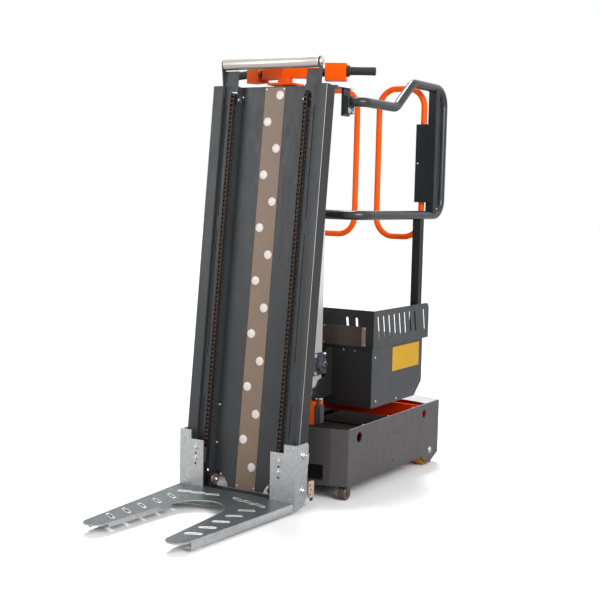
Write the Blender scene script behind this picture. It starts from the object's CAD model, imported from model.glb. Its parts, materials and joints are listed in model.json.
# Stock picker with a leaning load panel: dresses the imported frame, then sets the studio and the camera
import json
import math

import bmesh
import bpy
import numpy as np
from mathutils import Matrix, Vector

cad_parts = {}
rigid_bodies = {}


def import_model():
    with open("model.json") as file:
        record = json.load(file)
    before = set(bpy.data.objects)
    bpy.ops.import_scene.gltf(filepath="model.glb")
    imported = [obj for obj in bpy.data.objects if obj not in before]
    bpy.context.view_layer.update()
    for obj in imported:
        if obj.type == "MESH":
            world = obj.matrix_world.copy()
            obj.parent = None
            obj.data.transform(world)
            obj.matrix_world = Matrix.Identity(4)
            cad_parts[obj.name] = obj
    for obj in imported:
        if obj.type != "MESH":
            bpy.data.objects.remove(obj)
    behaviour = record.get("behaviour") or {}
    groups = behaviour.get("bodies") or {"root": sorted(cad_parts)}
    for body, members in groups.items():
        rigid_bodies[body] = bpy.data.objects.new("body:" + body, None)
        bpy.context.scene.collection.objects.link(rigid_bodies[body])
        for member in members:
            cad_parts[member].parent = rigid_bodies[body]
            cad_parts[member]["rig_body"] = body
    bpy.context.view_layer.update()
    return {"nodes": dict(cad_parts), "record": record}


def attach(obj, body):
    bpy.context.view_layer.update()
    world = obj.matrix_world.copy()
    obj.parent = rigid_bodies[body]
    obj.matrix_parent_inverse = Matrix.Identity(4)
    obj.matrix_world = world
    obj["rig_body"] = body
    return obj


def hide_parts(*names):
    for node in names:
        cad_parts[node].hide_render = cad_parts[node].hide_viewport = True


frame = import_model()
nodes = frame["nodes"]
bodyOfNode = {name: obj["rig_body"] for name, obj in nodes.items()}
slotOfNode = {row["node"]: row["material_slot"] for row in frame["record"]["subparts"]}
print("frame loaded,", len(nodes), "nodes")


def newMaterial(name):
    material = bpy.data.materials.new(name)
    material.use_nodes = True
    tree = material.node_tree
    shader = tree.nodes["Principled BSDF"]
    where = tree.nodes.new("ShaderNodeTexCoord")
    return material, tree, shader, where.outputs["Object"]


def noiseOn(tree, where, scale, detail=3.0, rough=0.55, stretch=None):
    # noise at a given scale in 1/m, stretched along an axis where one is given
    noise = tree.nodes.new("ShaderNodeTexNoise")
    noise.inputs["Scale"].default_value = scale
    noise.inputs["Detail"].default_value = detail
    noise.inputs["Roughness"].default_value = rough
    if stretch:
        mapping = tree.nodes.new("ShaderNodeMapping")
        mapping.inputs["Scale"].default_value = stretch
        tree.links.new(where, mapping.inputs["Vector"])
        where = mapping.outputs["Vector"]
    tree.links.new(where, noise.inputs["Vector"])
    return noise.outputs["Fac"]


def rampOf(tree, value, stops):
    # colour ramp from a list of (position, colour)
    ramp = tree.nodes.new("ShaderNodeValToRGB")
    points = ramp.color_ramp.elements
    while len(points) < len(stops):
        points.new(0.5)
    for point, (at, colour) in zip(points, stops):
        point.position = at
        point.color = (*colour, 1.0)
    tree.links.new(value, ramp.inputs["Fac"])
    return ramp.outputs["Color"]


def bumpOf(tree, height, strength, distance):
    bump = tree.nodes.new("ShaderNodeBump")
    bump.inputs["Strength"].default_value = strength
    bump.inputs["Distance"].default_value = distance
    tree.links.new(height, bump.inputs["Height"])
    return bump.outputs["Normal"]


def shaded(colour, factor):
    return tuple(min(1.0, c * factor) for c in colour)


def toneOf(tree, value, colour, spread, low=0.3, high=0.7):
    # from a darker to a lighter tone of one colour
    return rampOf(tree, value, [(low, shaded(colour, 1 - spread)), (high, shaded(colour, 1 + spread))])


def roughnessOf(tree, value, low, high):
    span = tree.nodes.new("ShaderNodeMapRange")
    span.inputs["From Min"].default_value = 0.3
    span.inputs["From Max"].default_value = 0.7
    span.inputs["To Min"].default_value = low
    span.inputs["To Max"].default_value = high
    tree.links.new(value, span.inputs["Value"])
    return span.outputs["Result"]


def wire(tree, shader, colour, roughness, relief):
    # what every coat drives
    tree.links.new(colour, shader.inputs["Base Color"])
    tree.links.new(roughness, shader.inputs["Roughness"])
    tree.links.new(relief, shader.inputs["Normal"])


def powderCoat(name, colour, rough=(0.42, 0.55), grain=900.0, peel=0.25, cloud=0.10, gloss=0.5):
    # baked paint: fine orange peel, faint clouds of tone and rub marks in the gloss
    material, tree, shader, where = newMaterial(name)
    clouds = noiseOn(tree, where, 6.0, 4.0)
    rub = noiseOn(tree, where, 34.0, 5.0, 0.7, (1.0, 1.0, 0.35))
    fine = noiseOn(tree, where, grain, 2.0)
    wire(tree, shader, toneOf(tree, clouds, colour, cloud), roughnessOf(tree, rub, *rough),
         bumpOf(tree, fine, peel, 0.0002))
    shader.inputs["Specular IOR Level"].default_value = gloss
    return material


def zincPlate(name, colour, rough=(0.3, 0.46), metallic=0.85, spangle=0.1):
    # galvanised sheet: patches of crystal tone, fine rolling lines
    material, tree, shader, where = newMaterial(name)
    cells = tree.nodes.new("ShaderNodeTexVoronoi")
    cells.inputs["Scale"].default_value = 95.0
    tree.links.new(where, cells.inputs["Vector"])
    split = tree.nodes.new("ShaderNodeSeparateColor")
    tree.links.new(cells.outputs["Color"], split.inputs["Color"])
    wipe = noiseOn(tree, where, 22.0, 4.0, 0.6)
    lines = noiseOn(tree, where, 240.0, 3.0, 0.5, (0.15, 1.0, 1.0))
    wire(tree, shader, toneOf(tree, split.outputs["Red"], colour, spangle, 0.0, 1.0), roughnessOf(tree, wipe, *rough),
         bumpOf(tree, lines, 0.12, 0.0002))
    shader.inputs["Metallic"].default_value = metallic
    return material


def drawnMetal(name, colour, rough=(0.22, 0.36), metallic=1.0, along=(1.0, 1.0, 0.02), tone=0.06):
    # extruded, turned or brushed metal: lines along one axis
    material, tree, shader, where = newMaterial(name)
    lines = noiseOn(tree, where, 420.0, 4.0, 0.6, along)
    wire(tree, shader, toneOf(tree, lines, colour, tone), roughnessOf(tree, lines, *rough),
         bumpOf(tree, lines, 0.15, 0.0001))
    shader.inputs["Metallic"].default_value = metallic
    return material


def mouldedPlastic(name, colour, rough=(0.35, 0.5), grain=1500.0, depth=0.2, tone=0.06):
    # moulded plastic: fine spark texture and slight differences of tone
    material, tree, shader, where = newMaterial(name)
    clouds = noiseOn(tree, where, 25.0, 3.0)
    fine = noiseOn(tree, where, grain, 2.0)
    wire(tree, shader, toneOf(tree, clouds, colour, tone), roughnessOf(tree, clouds, *rough),
         bumpOf(tree, fine, depth, 0.0001))
    return material


def oiledChain(name, colour):
    # dark oiled steel with browner grease where dust has settled
    material, tree, shader, where = newMaterial(name)
    grease = noiseOn(tree, where, 160.0, 4.0, 0.65)
    colours = rampOf(tree, grease, [(0.35, shaded(colour, 0.55)), (0.6, colour), (0.75, (0.16, 0.09, 0.05))])
    wire(tree, shader, colours, roughnessOf(tree, grease, 0.25, 0.5), bumpOf(tree, grease, 0.3, 0.0003))
    shader.inputs["Metallic"].default_value = 0.75
    return material


def castTread(name, colour, rough=(0.35, 0.6)):
    # cast polyurethane: slightly waxy, scuffed where it rolls
    material, tree, shader, where = newMaterial(name)
    scuff = noiseOn(tree, where, 130.0, 5.0, 0.7)
    colours = rampOf(tree, scuff, [(0.35, shaded(colour, 0.7)), (0.6, colour)])
    wire(tree, shader, colours, roughnessOf(tree, scuff, *rough), bumpOf(tree, scuff, 0.25, 0.0004))
    shader.inputs["Subsurface Weight"].default_value = 0.08
    shader.inputs["Subsurface Radius"].default_value = (0.004, 0.002, 0.001)
    return material


def gripRubber(name, colour):
    # matt rubber with a fine mottled skin and dust
    material, tree, shader, where = newMaterial(name)
    dust = noiseOn(tree, where, 70.0, 4.0, 0.6)
    colours = rampOf(tree, dust, [(0.4, colour), (0.75, shaded(colour, 1.9))])
    fine = noiseOn(tree, where, 2200.0, 2.0)
    wire(tree, shader, colours, roughnessOf(tree, dust, 0.55, 0.75), bumpOf(tree, fine, 0.35, 0.0001))
    return material


def lowGloss(material, level):
    # less mirror at flat angles
    material.node_tree.nodes["Principled BSDF"].inputs["Specular IOR Level"].default_value = level


finish = {
    "orange_paint": powderCoat("orangeCoat", (1.0, 0.110, 0.001), (0.30, 0.42), 1100.0, 0.12, 0.03, 0.12),
    "anthracite_paint": powderCoat("anthraciteCoat", (0.033, 0.035, 0.038), (0.38, 0.52), 900.0, 0.25, 0.10),
    "cover_paint": powderCoat("coverCoat", (0.068, 0.064, 0.067), (0.42, 0.56), 800.0, 0.3, 0.08),
    "black_paint": powderCoat("blackCoat", (0.012, 0.012, 0.013), (0.42, 0.56), 900.0, 0.3, 0.15),
    "galvanised": zincPlate("galvanisedSheet", (0.52, 0.53, 0.54)),
    "steel": drawnMetal("brightSteel", (0.62, 0.61, 0.60), (0.2, 0.34), 1.0, (0.02, 1.0, 1.0)),
    "dark_steel": oiledChain("oiledSteel", (0.07, 0.05, 0.04)),
    "anodised": drawnMetal("anodisedMast", (0.80, 0.80, 0.81), (0.32, 0.44), 0.55, (1.0, 1.0, 0.02), 0.03),
    "roller_alu": drawnMetal("rollerTube", (0.58, 0.54, 0.51), (0.28, 0.4), 0.9, (0.02, 1.0, 1.0), 0.05),
    "cast_grey": powderCoat("castGrey", (0.16, 0.165, 0.17), (0.45, 0.65), 260.0, 0.6, 0.12),
    "bearing_blue": powderCoat("bearingBlue", (0.050, 0.058, 0.070), (0.35, 0.5), 300.0, 0.55, 0.15),
    "strip_plastic": mouldedPlastic("stripPlastic", (0.255, 0.178, 0.125), (0.4, 0.52), 700.0, 0.15, 0.05),
    "stud_plastic": mouldedPlastic("studPlastic", (0.90, 0.82, 0.78), (0.22, 0.34), 900.0, 0.08, 0.03),
    "pad_plastic": mouldedPlastic("padPlastic", (0.78, 0.77, 0.70), (0.3, 0.45)),
    "shoe_plastic": mouldedPlastic("shoePlastic", (0.46, 0.38, 0.31), (0.4, 0.55), 900.0, 0.2, 0.08),
    "black_plastic": mouldedPlastic("blackPlastic", (0.012, 0.012, 0.012), (0.32, 0.48)),
    "grip_rubber": gripRubber("gripRubber", (0.010, 0.010, 0.010)),
    "tread": castTread("driveTread", (0.78, 0.27, 0.015)),
    "caster_tread": castTread("casterTread", (0.13, 0.09, 0.075)),
    "red_plastic": mouldedPlastic("redPlastic", (0.55, 0.012, 0.008), (0.15, 0.3)),
    "plate_metal": drawnMetal("copperPlate", (0.085, 0.062, 0.052), (0.35, 0.5), 0.6, (0.02, 1.0, 1.0), 0.08),
    "lead_block": mouldedPlastic("batteryCase", (0.012, 0.006, 0.005), (0.6, 0.75)),
}
# second coats, used where a node or a small piece differs from its slot's finish
coat = {
    "copperLight": drawnMetal("copperLight", (0.42, 0.26, 0.21), (0.3, 0.45), 0.6, (0.02, 1.0, 1.0), 0.08),
    "yellowPlate": powderCoat("yellowPlate", (0.56, 0.31, 0.006), (0.3, 0.42), 900.0, 0.05, 0.03, 0.2),
    "whitePaint": powderCoat("whiteSheet", (0.78, 0.78, 0.77), (0.3, 0.45), 900.0, 0.1, 0.02),
    "railCoat": powderCoat("railCoat", (0.024, 0.026, 0.029), (0.20, 0.28), 900.0, 0.10, 0.08, 0.45),
    "forkZinc": zincPlate("forkZinc", (0.105, 0.122, 0.127), (0.30, 0.46), 0.3, 0.13),
    "shelfBlack": powderCoat("shelfBlack", (0.010, 0.007, 0.007), (0.5, 0.6), 900.0, 0.2, 0.1, 0.1),
    "insideRed": powderCoat("insideRed", (0.80, 0.040, 0.001), (0.36, 0.48), 1100.0, 0.12, 0.05, 0.1),
    "hubBronze": drawnMetal("hubBronze", (0.30, 0.21, 0.15), (0.3, 0.45), 0.6, (0.02, 1.0, 1.0)),
    "bareEdge": drawnMetal("bareEdge", (0.52, 0.47, 0.46), (0.3, 0.45), 0.4),
    "postCoat": powderCoat("postCoat", (0.014, 0.016, 0.018), (0.34, 0.46), 900.0, 0.2, 0.08, 0.2),
    "seamBlack": mouldedPlastic("seamBlack", (0.004, 0.004, 0.004), (0.6, 0.8)),
    "brownCasting": mouldedPlastic("brownCasting", (0.075, 0.055, 0.050), (0.3, 0.45), 700.0, 0.3, 0.12),
    "darkHole": mouldedPlastic("darkInside", (0.006, 0.006, 0.006), (0.6, 0.8)),
}
lowGloss(coat["forkZinc"], 0.2)
lowGloss(finish["lead_block"], 0.08)
print("materials ready,", len(finish) + len(coat))


def gridFaces(rows, cols, wrapRows=False, wrapCols=False, start=0):
    # quads between neighbours of a rows x cols grid
    i = np.arange(rows if wrapRows else rows - 1)[:, None]
    j = np.arange(cols if wrapCols else cols - 1)[None, :]
    i2, j2 = (i + 1) % rows, (j + 1) % cols
    quads = np.stack([i * cols + j, i * cols + j2, i2 * cols + j2, i2 * cols + j], axis=-1)
    return (quads.reshape(-1, 4) + start).tolist()


def cappedFaces(rows, around):
    # the quads of a row of closed rings, and a flat cap at each end
    last = (rows - 1) * around
    caps = [list(range(around - 1, -1, -1)), list(range(last, last + around))]
    return gridFaces(rows, around, False, True) + caps


def stackedPlates(count, n):
    # separate plates, each of two outlines of n points: both faces and the rim between them
    faces = []
    for b in range(0, count * 2 * n, 2 * n):
        faces += [[b + i for i in range(n - 1, -1, -1)], [b + n + i for i in range(n)]]
        faces += gridFaces(2, n, False, True, b)
    return faces


def filletPath(points, radii, step=math.radians(6)):
    # a line through corners, each rounded by an arc: centre + radius * (cos t, sin t) in the plane of the corner
    pts = np.array(points, float)
    out = [pts[0][None, :]]
    for k in range(1, len(pts) - 1):
        u = (pts[k] - pts[k - 1]) / np.linalg.norm(pts[k] - pts[k - 1])
        v = (pts[k + 1] - pts[k]) / np.linalg.norm(pts[k + 1] - pts[k])
        turn = math.acos(np.clip(u @ v, -1, 1))
        start = pts[k] - u * radii[k] * math.tan(turn / 2)
        inward = (v - u * (u @ v)) / math.sin(turn)
        t = np.linspace(0, turn, max(3, int(turn / step) + 1))[:, None]
        out.append(start + radii[k] * (np.sin(t) * u + (1 - np.cos(t)) * inward))
    out.append(pts[-1][None, :])
    return np.vstack(out)


def ringFrames(path):
    # tangent, side and up at each station; the side is carried along so that the ring doesn't twist
    tangent = np.gradient(path, axis=0)
    tangent /= np.linalg.norm(tangent, axis=1)[:, None]
    side = np.cross(tangent[0], [0.0, 0.0, 1.0] if abs(tangent[0][2]) < 0.9 else [1.0, 0.0, 0.0])
    sides = []
    for t in tangent:
        side = side - t * (side @ t)
        side = side / np.linalg.norm(side)
        sides.append(side)
    sides = np.array(sides)
    return tangent, sides, np.cross(tangent, sides)


def tubeSurface(path, radius, around=28):
    # point = station + r * (cos a * side + sin a * up); the ends are closed by flat caps
    tangent, side, up = ringFrames(path)
    a = np.linspace(0, 2 * np.pi, around, endpoint=False)
    r = np.broadcast_to(np.asarray(radius, float), (len(path),))[:, None, None]
    ring = np.cos(a)[None, :, None] * side[:, None, :] + np.sin(a)[None, :, None] * up[:, None, :]
    return (path[:, None, :] + r * ring).reshape(-1, 3), cappedFaces(len(path), around)


def turnedSurface(centre, axis, profile, around=40):
    # profile of (along, radius) turned about an axis through the centre
    profile = np.array(profile, float)
    axis = np.array(axis, float) / np.linalg.norm(axis)
    path = np.array(centre, float) + profile[:, :1] * axis
    side = np.cross(axis, [0.0, 0.0, 1.0] if abs(axis[2]) < 0.9 else [1.0, 0.0, 0.0])
    side /= np.linalg.norm(side)
    up = np.cross(axis, side)
    a = np.linspace(0, 2 * np.pi, around, endpoint=False)
    ring = np.cos(a)[:, None] * side + np.sin(a)[:, None] * up
    verts = (path[:, None, :] + profile[:, 1][:, None, None] * ring[None]).reshape(-1, 3)
    return verts, cappedFaces(len(profile), around)


def slabSurface(outline, origin, across, upward, thick):
    # a closed outline (u, v) laid at origin + u * across + v * upward and given a thickness along their cross product
    outline = np.array(outline, float)
    across, upward = np.array(across, float), np.array(upward, float)
    normal = np.cross(across, upward)
    base = np.array(origin, float) + outline[:, :1] * across + outline[:, 1:] * upward
    n = len(base)
    verts = np.vstack([base, base + normal * thick])
    ring = gridFaces(2, n, False, True)
    return verts, [list(range(n - 1, -1, -1)), list(range(n, 2 * n))] + ring


def boxSurface(low, high):
    (x0, y0, z0), (x1, y1, z1) = low, high
    outline = [(0, 0), (x1 - x0, 0), (x1 - x0, y1 - y0), (0, y1 - y0)]
    return slabSurface(outline, (x0, y0, z0), (1, 0, 0), (0, 1, 0), z1 - z0)


def gather(parts):
    # several surfaces as one list of points and faces
    verts, faces, start = [], [], 0
    for v, f in parts:
        verts.append(np.asarray(v, float))
        faces += [[k + start for k in face] for face in f]
        start += len(v)
    return np.vstack(verts), faces


def mirrorX(surface):
    verts, faces = surface
    return verts * np.array([-1.0, 1.0, 1.0]), [face[::-1] for face in faces]


def bothSides(parts):
    return parts + [mirrorX(part) for part in parts]


def place(name, parts, body, slotName, replaced=(), bevel=0.0, crease=30, material=None):
    verts, faces = gather(parts)
    mesh = bpy.data.meshes.new(name)
    mesh.from_pydata(verts.tolist(), [], faces)
    mesh.validate()
    bm = bmesh.new()
    bm.from_mesh(mesh)
    bmesh.ops.recalc_face_normals(bm, faces=bm.faces)
    bm.to_mesh(mesh)
    bm.free()
    obj = bpy.data.objects.new(name, mesh)
    bpy.context.scene.collection.objects.link(obj)
    dress(obj, body, slotName, bevel, crease, material)
    if replaced:
        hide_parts(*replaced)
    return obj


def dress(obj, body, slotName, bevel, crease, material=None):
    mesh = obj.data
    mesh.materials.clear()
    mesh.materials.append(material or finish[slotName])
    mesh.polygons.foreach_set("use_smooth", np.ones(len(mesh.polygons), bool))
    mesh.set_sharp_from_angle(angle=math.radians(crease))
    if bevel:
        cutter = obj.modifiers.new("edges", "BEVEL")
        cutter.width = bevel
        cutter.segments = 2
        cutter.limit_method = "ANGLE"
        cutter.angle_limit = math.radians(crease)
        cutter.harden_normals = True
    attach(obj, body)


def softenNode(name, width):
    # a merged copy of a CAD node with its long edges rounded
    source = nodes[name]
    mesh = source.data.copy()
    mesh.name = name + "_dressed"
    bm = bmesh.new()
    bm.from_mesh(mesh)
    bmesh.ops.remove_doubles(bm, verts=bm.verts, dist=0.00001)
    bmesh.ops.dissolve_limit(bm, angle_limit=math.radians(0.6), verts=bm.verts, edges=bm.edges)
    bm.to_mesh(mesh)
    bm.free()
    obj = bpy.data.objects.new(name + "_dressed", mesh)
    bpy.context.scene.collection.objects.link(obj)
    dress(obj, bodyOfNode[name], slotOfNode[name], width, 38)
    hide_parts(name)
    return obj


def paintWhere(obj, material, chosen):
    # a second material on the faces whose centre and normal the test picks
    mesh = obj.data
    count = len(mesh.polygons)
    centre, normal = np.zeros(count * 3), np.zeros(count * 3)
    mesh.polygons.foreach_get("center", centre)
    mesh.polygons.foreach_get("normal", normal)
    mesh.materials.append(material)
    index = np.zeros(count, int)
    mesh.polygons.foreach_get("material_index", index)
    index[chosen(centre.reshape(-1, 3).T, normal.reshape(-1, 3).T)] = len(mesh.materials) - 1
    mesh.polygons.foreach_set("material_index", index)


# every node gets its finish first, so that what isn't replaced below is dressed too
for name, obj in nodes.items():
    obj.data.materials.clear()
    obj.data.materials.append(finish[slotOfNode[name]])
print("nodes painted")

# the panel leans back: depth d behind its face, s along it
lean = {"angle": math.radians(5.8), "face": -0.272}


def leaned(x, d, s):
    c, n = math.cos(lean["angle"]), math.sin(lean["angle"])
    x, d, s = np.broadcast_arrays(np.asarray(x, float), np.asarray(d, float), np.asarray(s, float))
    return np.stack([x, lean["face"] + d * c + s * n, s * c - d * n], axis=-1)


leanDeep = leaned(0, 1, 0) - leaned(0, 0, 0)

# guard rails: one tube a side, bent through its corners
rail = {"radius": 0.0205, "x": 0.350, "front": 0.100, "rear": 0.925, "low": 1.232, "high": 1.838, "hand": 1.715,
        "kinkEnd": 0.580, "from": 0.276, "mast": 0.142}
kinkStart = rail["kinkEnd"] - (rail["high"] - rail["hand"]) * 4 / 3
railLine = filletPath(
    [(rail["from"], rail["front"], rail["hand"]), (rail["x"], rail["front"], rail["hand"]),
     (rail["x"], kinkStart, rail["hand"]), (rail["x"], rail["kinkEnd"], rail["high"]),
     (rail["x"], rail["rear"], rail["high"]), (rail["x"], rail["rear"], rail["low"]),
     (rail["x"], rail["front"], rail["low"]), (rail["mast"], rail["front"], rail["low"])],
    [0, 0.050, 0.075, 0.075, 0.085, 0.075, 0.090, 0])
place("guardRailTubes", bothSides([tubeSurface(railLine, rail["radius"], 36)]), "platform", "anthracite_paint",
      ["guard_rails"], crease=38, material=coat["railCoat"])

# gates: a closed loop of tube, welded below
gate = {"radius": 0.0145, "inner": 0.062, "outer": 0.305, "y": 0.806, "low": 1.122, "high": 1.838, "corner": 0.092,
        "weld": 0.0149}
middle = (gate["inner"] + gate["outer"]) / 2
gateLine = filletPath(
    [(x, gate["y"], z) for x, z in (
        (middle, gate["low"]), (gate["outer"], gate["low"]), (gate["outer"], gate["high"]),
        (gate["inner"], gate["high"]), (gate["inner"], gate["low"]), (middle, gate["low"]))],
    [0, gate["corner"], gate["corner"], gate["corner"], gate["corner"], 0], math.radians(4))
gateTube = tubeSurface(gateLine, gate["radius"], 32)
gateWeld = turnedSurface((middle, gate["y"], gate["low"]), (1, 0, 0),
                         [(-0.004, 0.0142), (-0.0015, gate["weld"]), (0.0015, gate["weld"]), (0.004, 0.0142)], 32)
place("gateTubeRight", [gateTube, gateWeld], "gate_r", "orange_paint", ["gate_right"], crease=38)
place("gateTubeLeft", [mirrorX(gateTube), mirrorX(gateWeld)], "gate_l", "orange_paint", ["gate_left"], crease=38)

# chains: links laid out along the loop around the two sprockets of a side
chain = {"pitch": 0.01905, "x": 0.1865, "teeth": 8, "depth": 0.006, "top": 1.728, "low": 0.080, "half": 0.0077,
         "inner": 0.0066, "outer": 0.0082, "plate": 0.0014, "roller": 0.0058, "pin": 0.0027, "hubEnd": 0.1347,
         "around": 12}
chain["radius"] = chain["pitch"] / (2 * math.sin(math.pi / chain["teeth"]))
chainAxis = chain["depth"] + chain["radius"]


def loopPoints(length):
    # arc length to (depth, s): up the front run, over the top, down the rear run, round the bottom
    run, half = chain["top"] - chain["low"], math.pi * chain["radius"]
    length = np.mod(length, 2 * (run + half))
    a = (length - run) / chain["radius"]
    b = (length - 2 * run - half) / chain["radius"]
    depth = np.select([length < run, length < run + half, length < 2 * run + half],
                      [chainAxis - chain["radius"], chainAxis - chain["radius"] * np.cos(a),
                       chainAxis + chain["radius"]],
                      chainAxis + chain["radius"] * np.cos(b))
    s = np.select([length < run, length < run + half, length < 2 * run + half],
                  [chain["low"] + length, chain["top"] + chain["radius"] * np.sin(a),
                   chain["top"] - (length - run - half)],
                  chain["low"] - chain["radius"] * np.sin(b))
    return depth, s


def linkOutline(reach, high, waist, count=20):
    # link plate seen from the side: two round ends joined by a waist
    t = np.linspace(-math.pi / 2, math.pi / 2, count // 2 - 1)
    right = np.stack([reach / 2 + high * np.cos(t), high * np.sin(t)], axis=1)
    left = np.stack([-reach / 2 - high * np.cos(t), -high * np.sin(t)], axis=1)
    return np.vstack([right, [(0, waist)], left, [(0, -waist)]])


def chainSurfaces(side):
    run, half = chain["top"] - chain["low"], math.pi * chain["radius"]
    count = int(round(2 * (run + half) / chain["pitch"]))
    count += count % 2
    step = 2 * (run + half) / count
    d0, s0 = loopPoints(np.arange(count) * step)
    d1, s1 = loopPoints((np.arange(count) + 1) * step)
    outline = linkOutline(chain["pitch"], chain["half"], chain["half"] * 0.72)
    along = np.stack([d1 - d0, s1 - s0], axis=1)
    along /= np.linalg.norm(along, axis=1)[:, None]
    across = np.stack([-along[:, 1], along[:, 0]], axis=1)
    mid = np.stack([(d0 + d1) / 2, (s0 + s1) / 2], axis=1)
    flat = mid[:, None, :] + outline[None, :, :1] * along[:, None, :] + outline[None, :, 1:] * across[:, None, :]
    near = np.where(np.arange(count) % 2 == 0, chain["inner"], chain["outer"])[:, None]
    parts = []
    for sign in (-1, 1):
        low = leaned(side * chain["x"] + sign * near + 0 * flat[..., 0], flat[..., 0], flat[..., 1])
        far = near + chain["plate"]
        high = leaned(side * chain["x"] + sign * far + 0 * flat[..., 0], flat[..., 0], flat[..., 1])
        parts.append((np.concatenate([low, high], axis=1).reshape(-1, 3), stackedPlates(count, len(outline))))
    # rollers and pins: short cylinders across the chain at every joint
    a = np.linspace(0, 2 * np.pi, chain["around"], endpoint=False)
    for radius, reach in ((chain["roller"], chain["inner"]), (chain["pin"], chain["outer"] + chain["plate"] + 0.0008)):
        ring = np.stack([np.cos(a), np.sin(a)], axis=1) * radius
        d = d0[:, None, None] + ring[None, None, :, 0]
        s = s0[:, None, None] + ring[None, None, :, 1]
        x = side * chain["x"] + np.array([-reach, reach])[None, :, None] + 0 * d
        parts.append((leaned(x, d, s).reshape(-1, 3), stackedPlates(count, chain["around"])))
    return parts


place("chainRight", chainSurfaces(1), "platform", "dark_steel", ["lift_chains"], crease=38)
place("chainLeft", chainSurfaces(-1), "platform", "dark_steel", ["lift_chains"], crease=38)

# glide studs: flat discs with a rounded rim and a small centre dimple
stud = {"radius": 0.0193, "x": 0.027, "count": 15, "top": 1.751, "pitch": 0.1143, "face": 0.0525, "thick": 0.0045}
r, t = stud["radius"], stud["thick"]
studProfile = [(0.0001, r), (t * 0.55, r), (t * 0.85, r * 0.965), (t, r * 0.9), (t, r * 0.2), (t - 0.0012, r * 0.14)]
studParts = []
for k in range(stud["count"]):
    centre = leaned((1 if k % 2 == 0 else -1) * stud["x"], stud["face"], stud["top"] - k * stud["pitch"])
    studParts.append(turnedSurface(centre, -leanDeep, studProfile, 40))
place("glideStuds", studParts, "platform", "stud_plastic", ["glide_studs"])


def panelStrip(x0, x1, depth, thick, low, high):
    # a thin flat strip on the panel: four corners at one depth and four at the next
    corners = ((x0, low), (x1, low), (x1, high), (x0, high))
    verts = [leaned(x, d, s) for d in (depth, depth + thick) for x, s in corners]
    return np.array(verts), [[0, 1, 2, 3], [7, 6, 5, 4]] + gridFaces(2, 4, False, True)


# long seams in the channel floor beside each step
seam = {"from": 0.2215, "to": 0.2265, "depth": 0.0157, "thick": 0.0004,
        "runs": ((0.30, 0.44), (0.62, 1.16), (1.22, 1.70))}
seams = [panelStrip(seam["from"], seam["to"], seam["depth"], seam["thick"], low, high) for low, high in seam["runs"]]
place("columnSeams", bothSides(seams), "platform", "anthracite_paint", material=coat["seamBlack"])

# bare cut edges of the column sheets
cut = {"from": 0.2868, "to": 0.2884, "depth": -0.0004, "thick": 0.0010, "runs": ((0.050, 0.235), (0.262, 1.7865))}
edges = [panelStrip(cut["from"], cut["to"], cut["depth"], cut["thick"], low, high) for low, high in cut["runs"]]
place("columnEdges", bothSides(edges), "platform", "anthracite_paint", material=coat["bareEdge"])

# skirt below the middle sheet
skirt = {"half": 0.236, "depth": 0.0500, "thick": 0.0025, "low": 0.012, "high": 0.0495}
skirtStrip = panelStrip(-skirt["half"], skirt["half"], skirt["depth"], skirt["thick"], skirt["low"], skirt["high"])
place("panelSkirt", [skirtStrip], "platform", "anthracite_paint", ["panel_sheet"], 0.0004)

# guide roller: tube with turned-in ends
roller = {"y": -0.073, "z": 1.870, "bolt": 0.2482}
rollerHalf = [(-0.2405, 0.0105), (-0.2405, 0.0225), (-0.2392, 0.0242), (-0.237, 0.0249)]
rollerProfile = rollerHalf + [(-along, r) for along, r in rollerHalf[::-1]]
place("guideRollerTube", [turnedSurface((0, roller["y"], roller["z"]), (1, 0, 0), rollerProfile, 56)],
      "roller", "roller_alu", ["top_roller"])
print("tubes, chains, studs and roller placed")


def hexHead(centre, axis, across, high, washer=True):
    # hexagon head: six-sided prism with a chamfered top, on a washer
    r = across / math.sqrt(3)
    parts = [turnedSurface(centre, axis, [(0.0012 if washer else 0.0, r), (high * 0.85, r), (high, r * 0.86)], 6)]
    if washer:
        rim = across * 0.98
        parts.append(turnedSurface(centre, axis, [(0.0, rim), (0.001, rim), (0.0013, across * 0.94)], 24))
    return parts


def domeHead(centre, axis, radius, high):
    # button head: a quarter-round profile with a socket in it
    t = np.linspace(0, math.pi / 2 * 0.8, 7)
    profile = [(0.0, radius)] + [(high * math.sin(a), radius * math.cos(a) ** 0.6) for a in t[1:]]
    top = profile[-1][0]
    profile += [(top, radius * 0.42), (top - high * 0.55, radius * 0.40)]
    return [turnedSurface(centre, axis, profile, 24)]


# grips: ribbed rubber with a flange at the inner end and a rounded outer end
bar = {"stemY": 0.036, "sweep": math.radians(23.8), "start": 0.268, "flange": 0.013, "grip": 0.114, "radius": 0.019,
       "z": 1.852, "ribs": 13}


def armPoint(t, across, z):
    # right arm: t along the arm, across towards the operator
    c, n = math.cos(bar["sweep"]), math.sin(bar["sweep"])
    return np.array([t * c - across * n, bar["stemY"] + t * n + across * c, z])


armAxis = armPoint(1, 0, 0) - armPoint(0, 0, 0)
armAcross = armPoint(0, 1, 0) - armPoint(0, 0, 0)
gripFrom = bar["start"] + bar["flange"]
ribs = [(bar["start"] + 0.0003, 0.0225), (bar["start"] + 0.002, 0.0255), (bar["start"] + 0.010, 0.0255),
        (gripFrom, 0.0225)]
t = np.linspace(0, 1, bar["ribs"] * 6 + 1)
# radius = base + rib wave - a slight waist
waves = bar["radius"] - 0.0009 + 0.0009 * np.cos(2 * np.pi * bar["ribs"] * t) - 0.0016 * np.sin(np.pi * t) * 0.4
ribs += list(zip(gripFrom + 0.002 + t * (bar["grip"] - 0.012), waves))
end = bar["start"] + bar["flange"] + bar["grip"]
ribs += [(end - 0.008, 0.0188), (end - 0.003, 0.0175), (end - 0.0008, 0.0145), (end, 0.009)]
gripShape = turnedSurface(armPoint(0, 0, bar["z"]), armAxis, ribs, 36)
place("gripPair", bothSides([gripShape]), "steering", "grip_rubber", ["grips"])

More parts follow.
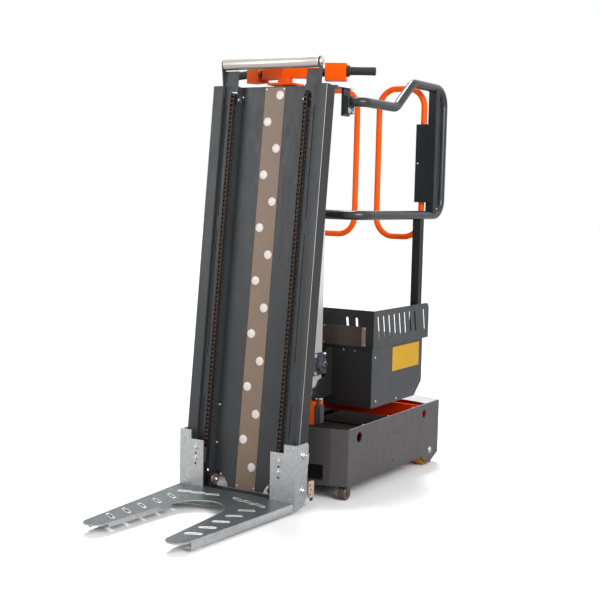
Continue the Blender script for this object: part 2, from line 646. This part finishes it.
# throttle collars with fine ribs and a thumb paddle
thumb = {"from": 0.1503, "to": 0.1757, "radius": 0.020, "bore": 0.0101, "z": 1.846, "steps": 41, "groove": 4}
a = np.linspace(0, 1, thumb["steps"])
grooves = np.arange(thumb["steps"]) % thumb["groove"] == 0
# radius less a rounding at both ends and fine grooves
collarRadius = thumb["radius"] - 0.0012 * (np.abs(2 * a - 1) ** 6) - 0.0004 * grooves
collarProfile = list(zip(thumb["from"] + a * (thumb["to"] - thumb["from"]), collarRadius))
collarProfile = [(thumb["from"], thumb["bore"])] + collarProfile + [(thumb["to"], thumb["bore"])]
collar = turnedSurface(armPoint(0, 0, thumb["z"]), armAxis, collarProfile, 32)
paddle = [slabSurface([(0.1555, -0.0315), (0.1705, -0.0315), (0.1705, -0.012), (0.1555, -0.012)],
                      armPoint(0, 0, thumb["z"] - 0.005), armAxis, armAcross, 0.010)]
place("thumbCollarRight", [collar] + paddle, "thumb_right", "black_plastic", ["throttle_right"], 0.001)
place("thumbCollarLeft", [mirrorX(part) for part in [collar] + paddle], "thumb_left", "black_plastic",
      ["throttle_left"], 0.001)

# drive wheels: cast tread on a dished hub with lugs
wheel = {"y": 0.844, "z": 0.077, "radius": 0.0768, "in": 0.312, "out": 0.357, "rim": 0.058, "lip": 0.055,
         "web": 0.053, "boss": 0.024, "bore": 0.0118, "end": 0.3706, "lugs": 5, "lugCircle": 0.038}
near, far = wheel["in"], wheel["out"]
tread = [(near + 0.001, wheel["rim"]), (near + 0.001, 0.0725), (near + 0.004, 0.0757), (near + 0.009, wheel["radius"]),
         (far - 0.009, wheel["radius"]), (far - 0.004, 0.0757), (far - 0.001, 0.0725), (far - 0.001, wheel["rim"])]
hub = [(0.285, wheel["bore"]), (near - 0.001, wheel["bore"]), (near - 0.001, wheel["boss"]), (near + 0.012, 0.026),
       (near + 0.013, wheel["web"]), (near + 0.002, wheel["lip"]), (near + 0.002, wheel["rim"] + 0.0004),
       (far - 0.002, wheel["rim"] + 0.0004), (far - 0.002, wheel["lip"]), (far - 0.013, wheel["web"]),
       (far - 0.012, 0.026), (far + 0.001, wheel["boss"]), (far + 0.001, wheel["bore"]), (wheel["end"], wheel["bore"])]
for side, body, node in ((1, "drive_right", "drive_wheel_right"), (-1, "drive_left", "drive_wheel_left")):
    word = "Right" if side > 0 else "Left"
    centre = (0, wheel["y"], wheel["z"])
    place("driveTread" + word, [turnedSurface(centre, (side, 0, 0), tread, 64)], body, "tread", [node])
    lugs = []
    for k in range(wheel["lugs"]):
        angle = 2 * math.pi * k / wheel["lugs"]
        y = wheel["y"] + wheel["lugCircle"] * math.cos(angle)
        z = wheel["z"] + wheel["lugCircle"] * math.sin(angle)
        lugs += hexHead((side * (far - 0.0125), y, z), (side, 0, 0), 0.010, 0.006)
    place("driveHub" + word, [turnedSurface(centre, (side, 0, 0), hub, 48)] + lugs, body, "tread", [node],
          material=finish["cast_grey"])

# casters: crowned tread and a bearing hub between the fork cheeks; each profile is half and its mirror image
caster = {"x": 0.345, "y": 0.043, "z": 0.029, "half": 0.018, "radius": 0.0289}
h = caster["half"]
treadHalf = [(-h, 0.020), (-h, 0.0255), (-h + 0.003, 0.0283), (-h + 0.008, caster["radius"])]
hubHalf = [(-h - 0.0006, 0.0043), (-h - 0.0006, 0.010), (-h + 0.002, 0.0115), (-h + 0.0022, 0.0195),
           (-h + 0.0006, 0.0203)]
casterTread = treadHalf + [(-along, r) for along, r in treadHalf[::-1]]
casterHub = hubHalf + [(-along, r) for along, r in hubHalf[::-1]]
for side, word, node in ((1, "Right", "caster_wheel_right"), (-1, "Left", "caster_wheel_left")):
    centre = (side * caster["x"], caster["y"], caster["z"])
    body = bodyOfNode[node]
    place("casterTread" + word, [turnedSurface(centre, (1, 0, 0), casterTread, 48)], body, "caster_tread",
          [node])
    place("casterHub" + word, [turnedSurface(centre, (1, 0, 0), casterHub, 40)], body, "caster_tread", [node],
          material=finish["black_plastic"])
print("grips, collars and wheels placed")

# fork plate: pressed lips round its slots
fork = {"top": 0.047, "tip": -0.980, "front": 0.020, "lip": 0.0022}
armSlots = {"count": 5, "x": 0.196, "inwards": 0.003, "from": 0.135, "step": 0.092, "length": 0.068, "width": 0.015,
            "slant": -62}
rootSlots = {"count": 3, "x": 0.066, "stepX": 0.062, "back": 0.380, "stepY": 0.012, "length": 0.064, "width": 0.017,
             "slant": 70}


def slotLine(cx, cy, length, width, slant, count=9):
    # closed stadium line: two half circles of half the width, joined
    r, reach = width / 2, (length - width) / 2
    t = np.linspace(0, math.pi, count)
    end = np.stack([r * np.cos(t), reach + r * np.sin(t)], 1)
    ring = np.vstack([end, -end])
    c, n = math.cos(math.radians(slant)), math.sin(math.radians(slant))
    return np.stack([cx + ring[:, 0] * c - ring[:, 1] * n, cy + ring[:, 0] * n + ring[:, 1] * c], 1)


def lipSurface(line, z, radius, around=8):
    # a half-round bead that runs round a closed level line
    ahead = np.roll(line, -1, 0) - np.roll(line, 1, 0)
    ahead /= np.linalg.norm(ahead, axis=1)[:, None]
    side = np.stack([ahead[:, 1], -ahead[:, 0]], 1)
    a = np.linspace(-0.35, math.pi + 0.35, around)
    verts = np.zeros((len(line), around, 3))
    verts[:, :, :2] = line[:, None, :] + side[:, None, :] * (radius * 1.3 * np.cos(a))[None, :, None]
    verts[:, :, 2] = z + radius * np.sin(a)[None, :]
    return verts.reshape(-1, 3), gridFaces(len(line), around, True, True)


lines = []
for i in range(armSlots["count"]):
    x = armSlots["x"] - (i - armSlots["count"] // 2) * armSlots["inwards"]
    y = fork["tip"] + armSlots["from"] + i * armSlots["step"]
    lines.append(slotLine(x, y, armSlots["length"], armSlots["width"], armSlots["slant"]))
for i in range(rootSlots["count"]):
    x = rootSlots["x"] + i * rootSlots["stepX"]
    y = fork["front"] - rootSlots["back"] - i * rootSlots["stepY"]
    lines.append(slotLine(x, y, rootSlots["length"], rootSlots["width"], rootSlots["slant"]))
lips = [lipSurface(line, fork["top"], fork["lip"]) for line in lines]
place("forkSlotLips", bothSides(lips), "forks", "galvanised", ["fork_plate"], crease=60)

# fork uprights: height screws between open holes, bolts with long ends on the side plates
upright = {"x": 0.213, "face": -0.284, "side": 0.297, "sideY": -0.229, "screws": (0.168, 0.214),
           "bolts": (0.092, 0.240), "small": ((0.190, 0.243), (0.226, 0.243), (0.270, 0.060), (0.196, 0.058))}
heads = []
for z in upright["screws"]:
    heads += hexHead((upright["x"], upright["face"], z), (0, -1, 0), 0.013, 0.0065)
for z in upright["bolts"]:
    heads += hexHead((upright["side"], upright["sideY"], z), (1, 0, 0), 0.019, 0.010)
    heads.append(turnedSurface((upright["side"], upright["sideY"], z), (1, 0, 0),
                               [(0, 0.005), (0.0195, 0.005), (0.0202, 0.0042)], 20))
for x, z in upright["small"]:
    heads += domeHead((x, upright["face"], z), (0, -1, 0), 0.0035, 0.002)
place("forkHeads", bothSides(heads), "forks", "steel", ["fork_screws"])

# ends of the guide shoes behind the side plates: a plastic block with three red caps and a black foot
shoe = {"in": 0.2885, "out": 0.2965, "from": -0.174, "to": -0.131, "low": 0.044,
        "caps": ((-0.164, 0.100), (-0.157, 0.080), (-0.164, 0.061))}
deep = shoe["to"] - shoe["from"]
shoeEnd = slabSurface([(0, 0.012), (0.010, 0), (deep, 0), (deep, 0.068), (0.027, 0.072), (0, 0.072)],
                      (shoe["in"], shoe["from"], shoe["low"]), (0, 1, 0), (0, 0, 1), shoe["out"] - shoe["in"])
place("shoeEnds", bothSides([shoeEnd]), "forks", "shoe_plastic", ["guide_shoes"], 0.001)
caps = []
for y, z in shoe["caps"]:
    caps += domeHead((shoe["out"], y, z), (1, 0, 0), 0.0052, 0.0022)
place("shoeCaps", bothSides(caps), "forks", "red_plastic")
foot = boxSurface((0.2890, -0.155, 0.030), (0.2960, -0.137, 0.046))
place("shoeFeet", bothSides([foot]), "forks", "black_plastic", bevel=0.002)

# screws at the ends of the wear strip, and round heads left of it
screws = []
strip = {"face": 0.0525, "half": 0.0445, "ends": (1.777, 0.062)}
leftHeads = {"x": -0.166, "face": 0.0545, "along": (1.745, 0.400, 0.235)}
for s in strip["ends"]:
    for x in (-strip["half"], strip["half"]):
        screws += domeHead(leaned(x, strip["face"], s), -leanDeep, 0.0042, 0.0018)
for s in leftHeads["along"]:
    screws += domeHead(leaned(leftHeads["x"], leftHeads["face"], s), -leanDeep, 0.0058, 0.0038)
place("panelScrews", screws, "platform", "steel")

# round heads on the hinge cover plates and the head plate, hexagon bolts on the rail clamps
covers = {"x": 0.290, "face": 0.780, "screws": (1.305, 1.478, 1.650)}
clamp = {"face": 0.297, "bolts": (0.084, 0.116), "z": 1.679}
headPlate = {"top": 1.777, "x": (0.20, 0.285), "y": (0.02, 0.105)}
bolts = []
for z in covers["screws"]:
    bolts += domeHead((covers["x"], covers["face"] - 0.0001, z), (0, -1, 0), 0.0048, 0.0022)
for y in clamp["bolts"]:
    bolts += hexHead((clamp["face"], y, clamp["z"]), (1, 0, 0), 0.013, 0.007)
for x in headPlate["x"]:
    for y in headPlate["y"]:
        bolts += domeHead((x, y, headPlate["top"]), (0, 0, 1), 0.007, 0.0038)
place("platformHeads", bothSides(bolts), "platform", "steel")

# brown blank plate: rivets at the corners and a lighter end strip; screws of the housing
plate = {"face": 0.2414, "left": 0.101, "right": 0.325, "low": 0.645, "high": 0.735, "inset": 0.008, "strip": 0.022}
housing = {"side": 0.352, "sideScrews": ((0.285, 0.595), (0.300, 0.395), (0.505, 0.380)), "front": 0.255,
           "frontScrews": (0.205, 0.262), "frontZ": 0.622}
rivets = []
for x in (plate["left"] + plate["inset"], plate["right"] - plate["inset"]):
    for z in (plate["low"] + plate["inset"], plate["high"] - plate["inset"]):
        rivets += domeHead((x, plate["face"], z), (0, -1, 0), 0.0032, 0.0012)
for y, z in housing["sideScrews"]:
    rivets += domeHead((housing["side"], y, z), (1, 0, 0), 0.0055, 0.0026)
for x in housing["frontScrews"]:
    rivets += domeHead((x, housing["front"], housing["frontZ"]), (0, -1, 0), 0.0036, 0.0018)
place("plateRivets", rivets, "platform", "steel")
endStrip = boxSurface((plate["right"] - plate["strip"], plate["face"] - 0.0001, plate["low"] + 0.002),
                      (plate["right"] - 0.002, plate["face"] + 0.0002, plate["high"] - 0.002))
place("plateEnd", [endStrip], "platform", "plate_metal", material=coat["copperLight"])

# hub bolts of the lower sprockets
hubBolts = hexHead(leaned(chain["hubEnd"], chainAxis, chain["low"]), (-1, 0, 0), 0.017, 0.006)
place("hubBolts", bothSides(hubBolts), "chain_low", "steel")

# roller end bolts with washers
rollerBolts = hexHead((roller["bolt"], roller["y"], roller["z"]), (1, 0, 0), 0.019, 0.0075)
place("rollerBolts", bothSides(rollerBolts), "platform", "steel")

# wheel axle nuts, deck bolts, cover screws and bare cover edges on the base
base = {"side": 0.375, "deckBolts": (0.12, 0.32), "deckBoltY": 0.922, "top": 0.315, "rim": 0.3655,
        "rimScrews": (0.16, 0.40, 0.66), "sunkScrews": ((0.449, 0.231), (0.444, 0.100))}
axle = (base["side"], wheel["y"], wheel["z"])
nuts = [turnedSurface(axle, (1, 0, 0), [(0, 0.017), (0.0016, 0.017), (0.002, 0.0164), (0.002, 0.004)], 40)]
nuts += domeHead((base["side"] + 0.0018, wheel["y"], wheel["z"]), (1, 0, 0), 0.0145, 0.006)
for x in base["deckBolts"]:
    nuts += hexHead((x, base["deckBoltY"], base["top"]), (0, 0, 1), 0.010, 0.003, False)
sunk = []
for y, z in base["sunkScrews"]:
    sunk += domeHead((base["side"] - 0.004, y, z), (1, 0, 0), 0.0044, 0.003)
place("sunkScrews", bothSides(sunk), "base", "dark_steel", material=finish["black_plastic"])
for y in base["rimScrews"]:
    nuts += domeHead((base["rim"], y, base["top"]), (0, 0, 1), 0.0045, 0.0022)
place("baseHeads", bothSides(nuts), "base", "steel", ["base_screws"])
coverEdge = boxSurface((0.3740, 0.022, 0.3142), (0.3753, 0.932, 0.3154))
place("coverEdges", bothSides([coverEdge]), "base", "cover_paint", material=coat["bareEdge"])
print("fasteners placed")

# sheet-metal, cast and box-shaped nodes keep their form and get rounded edges
edgeWidth = {
    "side_covers": 0.0012, "front_cover": 0.0012, "rear_cover": 0.0012, "deck_plate": 0.001, "mast_foot": 0.0012,
    "mast_outer": 0.0012, "mast_middle": 0.001, "mast_inner": 0.001, "stop_posts": 0.0012, "side_brackets": 0.001,
    "floor_plate": 0.001, "toe_board": 0.0008, "housing_shell": 0.001, "blank_plates": 0.0003, "control_unit": 0.002,
    "guard_posts": 0.0018, "rail_clamps": 0.0025, "head_frame": 0.001, "gate_hinges": 0.0015, "gate_covers": 0.001,
    "panel_columns": 0.0012, "panel_sheet": 0.0006, "panel_mounts": 0.001, "wear_strip": 0.0006,
    "bearing_blocks": 0.0012, "lift_gearmotors": 0.002, "top_sprockets": 0.0008, "lower_sprockets": 0.0008,
    "roller_brackets": 0.001, "steering_base": 0.0015, "fork_uprights": 0.0012, "guide_shoes": 0.0012,
    "fork_screws": 0.0008, "base_frame": 0.001, "batteries": 0.003, "drive_gearmotors": 0.002,
    "caster_yoke_left": 0.0006, "caster_yoke_right": 0.0006, "winch_bearings": 0.0016, "winch_shaft": 0.001,
    "sprocket_axles": 0.0008, "outer_pads": 0.0006, "middle_pads": 0.0006, "handlebar": 0.003,
    "stop_button": 0.0015, "throttle_left": 0.0012, "throttle_right": 0.0012, "fork_plate": 0.0024,
}
dressed = {name: softenNode(name, width) for name, width in edgeWidth.items()}
print("edges rounded on", len(dressed), "nodes")

# parts of a piece that carry another coat: at is the place of a face, way its normal
bodyEdge = {"front": 0.045, "under": 0.088, "insideFrom": 0.060, "insideTo": 0.300}
border = {"toeFront": 0.260, "sideSign": 0.340, "yokeHead": 0.062, "hub": 0.158, "lowBearing": 0.3, "column": 0.2868,
          "postHead": 0.417, "headPlate": 1.72, "stem": 0.030, "stemTop": 1.817}
winch = {"y": 0.137, "z": 0.565, "flange": 0.1504, "bolts": 0.040, "cap": 0.034}


def outward(at, way):
    # how much a face looks away from the middle plane
    return way[0] * np.sign(at[0])


def fromWinch(at):
    return np.hypot(at[1] - winch["y"], at[2] - winch["z"])


paintWhere(dressed["toe_board"], finish["black_paint"], lambda at, way: (way[1] < -0.9) & (at[1] < border["toeFront"]))
paintWhere(dressed["base_frame"], coat["darkHole"],
           lambda at, way: (at[1] < bodyEdge["front"]) | (way[2] < -0.9) | (at[2] < bodyEdge["under"]))
paintWhere(dressed["base_frame"], coat["insideRed"],
           lambda at, way: (at[1] > bodyEdge["insideFrom"]) & (at[2] > bodyEdge["under"])
           & (at[2] < bodyEdge["insideTo"]) & (way[2] > -0.9))
paintWhere(dressed["front_cover"], coat["shelfBlack"], lambda at, way: way[2] > 0.9)
paintWhere(dressed["blank_plates"], coat["yellowPlate"], lambda at, way: at[0] > border["sideSign"])
for name in ("caster_yoke_left", "caster_yoke_right"):
    paintWhere(dressed[name], coat["brownCasting"], lambda at, way: at[2] < border["yokeHead"])
paintWhere(dressed["fork_plate"], coat["forkZinc"], lambda at, way: way[2] > 0.9)
paintWhere(dressed["lower_sprockets"], coat["hubBronze"], lambda at, way: np.abs(at[0]) < border["hub"])
paintWhere(dressed["housing_shell"], finish["black_paint"], lambda at, way: way[1] < -0.9)
paintWhere(dressed["bearing_blocks"], finish["black_paint"], lambda at, way: at[2] < border["lowBearing"])
paintWhere(dressed["winch_bearings"], finish["steel"],
           lambda at, way: (np.abs(at[0]) > winch["flange"]) & (fromWinch(at) > winch["bolts"]))
paintWhere(dressed["winch_bearings"], coat["brownCasting"],
           lambda at, way: (np.abs(at[0]) > winch["flange"] + 0.026) & (fromWinch(at) < winch["cap"]))
for name in ("guard_posts", "gate_covers"):
    paintWhere(dressed[name], coat["postCoat"], lambda at, way: at[2] > 0)
paintWhere(dressed["panel_columns"], finish["black_paint"],
           lambda at, way: (outward(at, way) > 0.7) & (np.abs(at[0]) > border["column"]))
paintWhere(dressed["side_brackets"], finish["black_paint"], lambda at, way: at[2] > 0)
paintWhere(dressed["stop_posts"], finish["steel"], lambda at, way: at[2] > border["postHead"])
paintWhere(dressed["deck_plate"], finish["galvanised"], lambda at, way: way[2] > 0.9)
paintWhere(dressed["head_frame"], coat["whitePaint"],
           lambda at, way: (outward(at, way) > 0.9) & (at[2] > border["headPlate"]))
paintWhere(dressed["handlebar"], finish["black_plastic"],
           lambda at, way: (np.hypot(at[0], at[1] - bar["stemY"]) < border["stem"]) & (at[2] < border["stemTop"]))


def anyRay(tree, *kinds):
    # 1 for a ray of one of the kinds, from Light Path
    rays = tree.nodes.new("ShaderNodeLightPath")
    value = rays.outputs[kinds[0]]
    for kind in kinds[1:]:
        either = tree.nodes.new("ShaderNodeMath")
        either.operation = "MAXIMUM"
        tree.links.new(value, either.inputs[0])
        tree.links.new(rays.outputs[kind], either.inputs[1])
        value = either.outputs[0]
    return value


studio = {"floor": 40.0, "pale": 0.58, "seen": 1.12, "key": 185.0, "fill": 56.0, "sun": 2.6, "soft": 20.0,
          "sunWay": (0.34, -0.42, -1.0), "keyPlace": (4.4, -1.6, 2.9), "fillPlace": (-2.6, -4.2, 2.6),
          "aim": (0, 0, 0.8), "lampSize": (2.4, 2.4), "world": 0.30, "fromRight": 0.24, "fromTop": 0.06}


def paleGround(name, level, seen):
    # pale floor; the camera sees it brighter, so that it reads as white and keeps the shadow
    material, tree, shader, where = newMaterial(name)
    shader.inputs["Base Color"].default_value = (level, level, level, 1.0)
    shader.inputs["Roughness"].default_value = 0.9
    bright = tree.nodes.new("ShaderNodeBsdfDiffuse")
    bright.inputs["Color"].default_value = (seen, seen, seen, 1.0)
    mix = tree.nodes.new("ShaderNodeMixShader")
    tree.links.new(anyRay(tree, "Is Camera Ray", "Is Transmission Ray"), mix.inputs["Fac"])
    tree.links.new(shader.outputs[0], mix.inputs[1])
    tree.links.new(bright.outputs[0], mix.inputs[2])
    tree.links.new(mix.outputs[0], tree.nodes["Material Output"].inputs["Surface"])
    return material


ground = bpy.data.meshes.new("floor")
half = studio["floor"]
ground.from_pydata([(-half, -half, 0), (half, -half, 0), (half, half, 0), (-half, half, 0)], [], [(0, 1, 2, 3)])
floorObj = bpy.data.objects.new("floor", ground)
bpy.context.scene.collection.objects.link(floorObj)
ground.materials.append(paleGround("paleFloor", studio["pale"], studio["seen"]))

world = bpy.data.worlds.new("softWorld")
bpy.context.scene.world = world
world.use_nodes = True
tree = world.node_tree
tree.nodes.clear()
out = tree.nodes.new("ShaderNodeOutputWorld")
lit = tree.nodes.new("ShaderNodeBackground")
seen = tree.nodes.new("ShaderNodeBackground")
lit.inputs["Color"].default_value = (1, 1, 1, 1)
# strength = plain level + share from the right * x + share from the top * z of the direction
way = tree.nodes.new("ShaderNodeTexCoord")
tilt = tree.nodes.new("ShaderNodeVectorMath")
tilt.operation = "DOT_PRODUCT"
tilt.inputs[1].default_value = (studio["fromRight"], 0.0, studio["fromTop"])
tree.links.new(way.outputs["Generated"], tilt.inputs[0])
level = tree.nodes.new("ShaderNodeMath")
level.inputs[1].default_value = studio["world"]
tree.links.new(tilt.outputs["Value"], level.inputs[0])
tree.links.new(level.outputs[0], lit.inputs["Strength"])
seen.inputs["Color"].default_value = (1, 1, 1, 1)
seen.inputs["Strength"].default_value = 1.0
mix = tree.nodes.new("ShaderNodeMixShader")
tree.links.new(anyRay(tree, "Is Camera Ray", "Is Transmission Ray", "Is Glossy Ray"), mix.inputs["Fac"])
tree.links.new(lit.outputs[0], mix.inputs[1])
tree.links.new(seen.outputs[0], mix.inputs[2])
tree.links.new(mix.outputs[0], out.inputs["Surface"])


def softLamp(name, spot, watts):
    lamp = bpy.data.lights.new(name, "AREA")
    lamp.shape = "RECTANGLE"
    lamp.size, lamp.size_y = studio["lampSize"]
    lamp.energy = watts
    obj = bpy.data.objects.new(name, lamp)
    bpy.context.scene.collection.objects.link(obj)
    obj.location = spot
    obj.rotation_euler = (Vector(studio["aim"]) - Vector(spot)).to_track_quat("-Z", "Y").to_euler()


softLamp("keyLamp", studio["keyPlace"], studio["key"])
softLamp("fillLamp", studio["fillPlace"], studio["fill"])

# a wide soft sun gives the floor its shadow
sun = bpy.data.lights.new("wideLamp", "SUN")
sun.energy = studio["sun"]
sun.angle = math.radians(studio["soft"])
sunObj = bpy.data.objects.new("wideLamp", sun)
bpy.context.scene.collection.objects.link(sunObj)
sunObj.rotation_euler = Vector(studio["sunWay"]).to_track_quat("-Z", "Y").to_euler()

# camera: the place and turn that the photograph's straight edges give
lens = {"place": (2.6796, -4.1575, 1.3220), "yaw": 30.0, "pitch": 5.1, "roll": 1.5, "focal": 67.70,
        "shift": (-0.0518, -0.0092)}
yaw, pitch, roll = (math.radians(lens[k]) for k in ("yaw", "pitch", "roll"))
ahead = Vector((-math.sin(yaw) * math.cos(pitch), math.cos(yaw) * math.cos(pitch), -math.sin(pitch)))
right = Vector((math.cos(yaw), math.sin(yaw), 0))
above = right.cross(ahead)
rolledRight = right * math.cos(roll) + above * math.sin(roll)
rolledUp = above * math.cos(roll) - right * math.sin(roll)
camera = bpy.data.cameras.new("camera")
camera.sensor_width = 36.0
camera.lens = lens["focal"]
camera.shift_x, camera.shift_y = lens["shift"]
cameraObj = bpy.data.objects.new("camera", camera)
bpy.context.scene.collection.objects.link(cameraObj)
turn = Matrix((rolledRight, rolledUp, -ahead)).transposed().to_4x4()
cameraObj.matrix_world = Matrix.Translation(lens["place"]) @ turn
bpy.context.scene.camera = cameraObj
bpy.context.scene.view_settings.view_transform = "Standard"
print("studio and camera ready")
